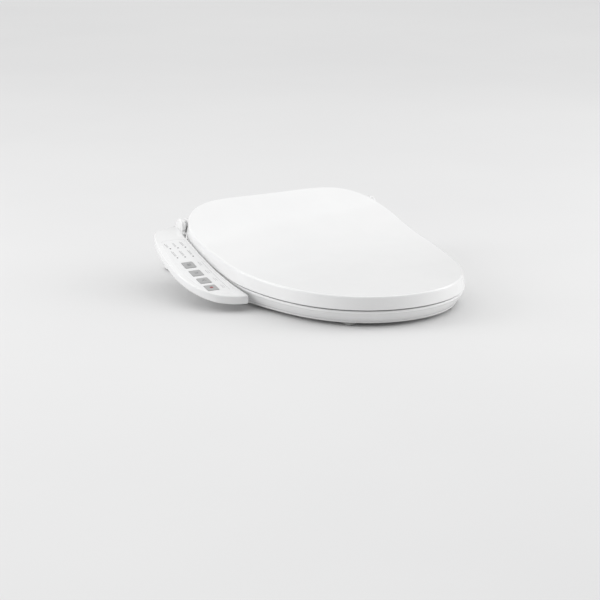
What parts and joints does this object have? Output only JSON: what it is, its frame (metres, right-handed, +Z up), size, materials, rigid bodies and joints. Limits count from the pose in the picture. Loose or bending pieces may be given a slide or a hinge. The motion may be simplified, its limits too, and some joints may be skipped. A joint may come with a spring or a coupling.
{
  "type": "electric bidet seat",
  "caption": "Electric bidet seat with a rear hinged body, heated ring, full-length lid, side control arm, extending wash nozzles and a warm-air dryer.",
  "frame": {"origin": "middle of the mounting plate underside, on the plane of the bowl rim", "axes": "+Z up; -Y towards the front of the seat; -X towards the control arm (the right hand of a seated person)"},
  "size_m": [0.4526, 0.5356, 0.118],
  "materials": {
    "white_gloss": "glossy moulded, very light edge sheen",
    "white_satin": "satin moulded",
    "overlay_white": "printed overlay film, satin",
    "button_grey": "fine matt moulded",
    "release_grey": "fine matt moulded",
    "pad_grey": "matt elastomer",
    "foot_grey": "matt elastomer",
    "lens_clear": "translucent moulded",
    "board_green": "lacquered circuit board",
    "dark_plastic": "moulded",
    "mid_plastic": "moulded",
    "damper_grey": "moulded",
    "screw_steel": "zinc plated",
    "inlet_metal": "plated",
    "plate_white": "glass-filled moulded",
    "foil_copper": "foil",
    "motor_steel": "drawn can",
    "heater_grey": "moulded",
    "filter_black": "pleated carbon cassette"
  },
  "bodies": {
    "housing": {"body_lower_housing": "white_satin", "housing_screw_1": "screw_steel", "housing_screw_2": "screw_steel", "housing_screw_3": "screw_steel", "housing_screw_4": "screw_steel", "body_foot_left": "foot_grey", "body_foot_right": "foot_grey", "body_upper_cover": "white_gloss", "control_overlay_film": "overlay_white", "arm_lower_cover": "white_satin", "control_board": "board_green", "indicator_light_guide": "lens_clear", "hinge_damper_left": "damper_grey", "hinge_damper_right": "damper_grey", "mounting_plate": "plate_white", "mounting_adjuster_left": "dark_plastic", "mounting_adjuster_right": "dark_plastic", "nozzle_cradle": "mid_plastic", "water_inlet_connector": "inlet_metal", "solenoid_valve": "dark_plastic", "instant_water_heater": "heater_grey", "blower_housing": "dark_plastic", "blower_motor": "motor_steel", "dryer_duct": "mid_plastic", "dryer_outlet_grille": "white_satin", "deodoriser_filter": "filter_black", "main_board": "board_green", "power_cord_gland": "white_satin"},
    "seat": {"seat_upper_shell": "white_gloss", "seat_lower_pan": "white_satin", "seat_heater_foil": "foil_copper", "seat_bumper_front_left": "pad_grey", "seat_bumper_front_right": "pad_grey", "seat_bumper_rear_left": "pad_grey", "seat_bumper_rear_right": "pad_grey"},
    "lid": {"lid": "white_gloss", "lid_bumper_left": "pad_grey", "lid_bumper_right": "pad_grey"},
    "button_1": {"button_1": "button_grey"},
    "button_2": {"button_2": "button_grey"},
    "button_3": {"button_3": "button_grey"},
    "button_4": {"button_4": "button_grey"},
    "rear_wash_nozzle": {"nozzle_rear_wash": "white_satin"},
    "front_wash_nozzle": {"nozzle_front_wash": "white_satin"},
    "nozzle_guard": {"nozzle_guard": "white_gloss"},
    "blower_wheel": {"blower_impeller": "dark_plastic"},
    "quick_release": {"quick_release_button": "release_grey"}
  },
  "joints": [
    {"name": "seat_hinge", "type": "hinge", "parent": "housing", "child": "seat", "pos_m": [0, -0.038, 0.088], "axis": [-1, 0, 0], "range_deg": [0, 100]},
    {"name": "lid_hinge", "type": "hinge", "parent": "seat", "child": "lid", "pos_m": [0, -0.038, 0.088], "axis": [1, 0, 0], "range_deg": [-100, 0]},
    {"name": "button_1_press", "type": "slide", "parent": "housing", "child": "button_1", "axis": [0, 0.21, -0.9777], "range_m": [0, 0.0009], "stiffness_N_per_m": 500},
    {"name": "button_2_press", "type": "slide", "parent": "housing", "child": "button_2", "axis": [0, 0.2279, -0.9737], "range_m": [0, 0.0009], "stiffness_N_per_m": 500},
    {"name": "button_3_press", "type": "slide", "parent": "housing", "child": "button_3", "axis": [0, 0.2543, -0.9671], "range_m": [0, 0.0009], "stiffness_N_per_m": 500},
    {"name": "button_4_press", "type": "slide", "parent": "housing", "child": "button_4", "axis": [0, 0.2873, -0.9578], "range_m": [0, 0.0009], "stiffness_N_per_m": 500},
    {"name": "rear_nozzle_slide", "type": "slide", "parent": "housing", "child": "rear_wash_nozzle", "axis": [0, -0.9781, -0.2079], "range_m": [0, 0.07], "stiffness_N_per_m": 15, "springref_m": -0.03},
    {"name": "front_nozzle_slide", "type": "slide", "parent": "housing", "child": "front_wash_nozzle", "axis": [0, -0.9781, -0.2079], "range_m": [0, 0.07], "stiffness_N_per_m": 15, "springref_m": -0.03},
    {"name": "nozzle_guard_hinge", "type": "hinge", "parent": "housing", "child": "nozzle_guard", "pos_m": [0, -0.065, 0.035], "axis": [-1, 0, 0], "range_deg": [0, 80]},
    {"name": "blower_spin", "type": "hinge", "parent": "housing", "child": "blower_wheel", "pos_m": [0.072, 0.002, 0.02], "axis": [0, 0, 1], "continuous": true},
    {"name": "quick_release_press", "type": "slide", "parent": "housing", "child": "quick_release", "axis": [-1, 0, 0], "range_m": [0, 0.003], "stiffness_N_per_m": 800}
  ]
}
